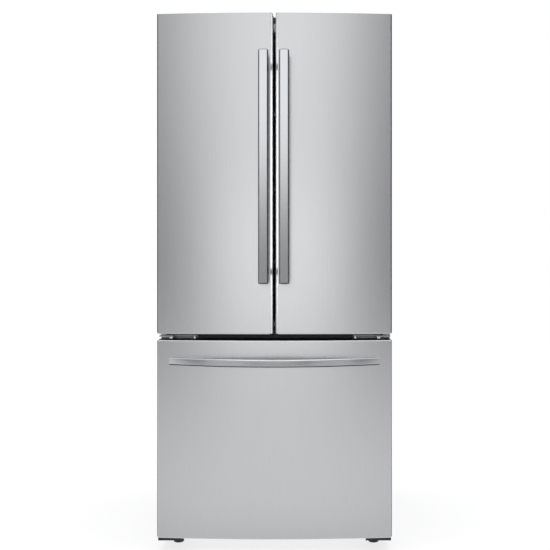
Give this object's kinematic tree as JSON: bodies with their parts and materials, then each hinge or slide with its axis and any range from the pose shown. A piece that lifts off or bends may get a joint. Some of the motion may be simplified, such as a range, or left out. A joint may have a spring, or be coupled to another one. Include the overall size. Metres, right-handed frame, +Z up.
{
  "type": "french door refrigerator",
  "caption": "Stainless french door refrigerator with bowed fronts, bar handles and a freezer drawer below.",
  "frame": {"origin": "on the floor, at the middle of the outer box", "axes": "+X to the right seen from the front, -Y out of the doors, +Z up"},
  "size_m": [0.756, 0.848, 1.757],
  "materials": {
    "stainless": "satin",
    "case_paint": "satin",
    "zinc_sheet": "satin",
    "insulation": "matte",
    "white_liner": "satin",
    "black_plastic": "satin",
    "black_steel": "satin",
    "coil_aluminium": "satin",
    "shelf_glass": "gloss",
    "clear_plastic": "gloss",
    "gasket_rubber": "matte"
  },
  "bodies": {
    "cabinet": {"cabinet_wrapper": "case_paint", "cabinet_back_panel": "zinc_sheet", "cabinet_base_pan": "zinc_sheet", "cabinet_foam": "insulation", "fresh_food_liner": "white_liner", "freezer_liner": "white_liner", "center_rail": "case_paint", "left_top_hinge": "zinc_sheet", "right_top_hinge": "zinc_sheet", "left_hinge_cover": "black_plastic", "right_hinge_cover": "black_plastic", "left_center_hinge": "zinc_sheet", "right_center_hinge": "zinc_sheet", "left_leg_bracket": "black_steel", "right_leg_bracket": "black_steel", "upper_shelf": "shelf_glass", "middle_shelf": "shelf_glass", "crisper_cover": "shelf_glass", "left_crisper": "clear_plastic", "right_crisper": "clear_plastic", "air_duct_cover": "white_liner", "evaporator_cover": "white_liner", "evaporator_coil": "coil_aluminium", "compressor": "black_steel", "condenser_coil": "black_steel", "condenser_fan_motor": "black_plastic", "drain_pan": "black_plastic", "machine_cover": "zinc_sheet", "ceiling_light": "white_liner", "left_fixed_rail": "zinc_sheet", "right_fixed_rail": "zinc_sheet"},
    "left_door": {"left_door_skin": "stainless", "left_door_top_cap": "black_plastic", "left_door_inner_panel": "white_liner", "left_door_gasket": "gasket_rubber", "left_door_handle": "stainless", "left_door_lower_bin": "clear_plastic", "left_door_upper_bin": "clear_plastic"},
    "right_door": {"right_door_skin": "stainless", "right_door_top_cap": "black_plastic", "right_door_inner_panel": "white_liner", "right_door_gasket": "gasket_rubber", "right_door_handle": "stainless", "right_door_lower_bin": "clear_plastic", "right_door_upper_bin": "clear_plastic"},
    "mullion": {"mullion_flap": "white_liner"},
    "freezer_drawer": {"freezer_drawer_skin": "stainless", "freezer_drawer_top_cap": "black_plastic", "freezer_drawer_inner_panel": "white_liner", "freezer_drawer_gasket": "gasket_rubber", "freezer_drawer_handle": "stainless", "freezer_basket": "clear_plastic", "left_slide_rail": "zinc_sheet", "right_slide_rail": "zinc_sheet"},
    "upper_tray": {"freezer_upper_tray": "clear_plastic"},
    "condenser_fan": {"condenser_fan": "black_plastic"},
    "left_foot": {"front_left_foot": "black_plastic"},
    "right_foot": {"front_right_foot": "black_plastic"},
    "left_roller": {"rear_left_roller": "black_plastic"},
    "right_roller": {"rear_right_roller": "black_plastic"}
  },
  "joints": [
    {"name": "left_door_swing", "type": "hinge", "parent": "cabinet", "child": "left_door", "pos_m": [-0.358, -0.306, 1.2], "axis": [0, 0, -1], "range_deg": [0, 120]},
    {"name": "right_door_swing", "type": "hinge", "parent": "cabinet", "child": "right_door", "pos_m": [0.358, -0.306, 1.2], "axis": [0, 0, 1], "range_deg": [0, 120]},
    {"name": "mullion_fold", "type": "hinge", "parent": "left_door", "child": "mullion", "pos_m": [-0.02, -0.256, 1.2], "axis": [0, 0, -1], "range_deg": [0, 90]},
    {"name": "freezer_drawer_slide", "type": "slide", "parent": "cabinet", "child": "freezer_drawer", "axis": [0, -1, 0], "range_m": [0, 0.33]},
    {"name": "upper_tray_slide", "type": "slide", "parent": "cabinet", "child": "upper_tray", "axis": [0, -1, 0], "range_m": [0, 0.198]},
    {"name": "condenser_fan_spin", "type": "hinge", "parent": "cabinet", "child": "condenser_fan", "pos_m": [0.063, 0.309, 0.1298], "axis": [1, 0, 0], "continuous": true},
    {"name": "left_foot_turn", "type": "hinge", "parent": "cabinet", "child": "left_foot", "pos_m": [-0.325, -0.2235, 0.02], "axis": [0, 0, 1], "continuous": true},
    {"name": "right_foot_turn", "type": "hinge", "parent": "cabinet", "child": "right_foot", "pos_m": [0.325, -0.2235, 0.02], "axis": [0, 0, 1], "continuous": true},
    {"name": "left_roller_spin", "type": "hinge", "parent": "cabinet", "child": "left_roller", "pos_m": [-0.33, 0.364, 0.021], "axis": [1, 0, 0], "continuous": true},
    {"name": "right_roller_spin", "type": "hinge", "parent": "cabinet", "child": "right_roller", "pos_m": [0.33, 0.364, 0.021], "axis": [1, 0, 0], "continuous": true}
  ],
  "couplings": [
    {"joint": "upper_tray_slide", "follows": "freezer_drawer_slide", "ratio": 0.6}
  ]
}
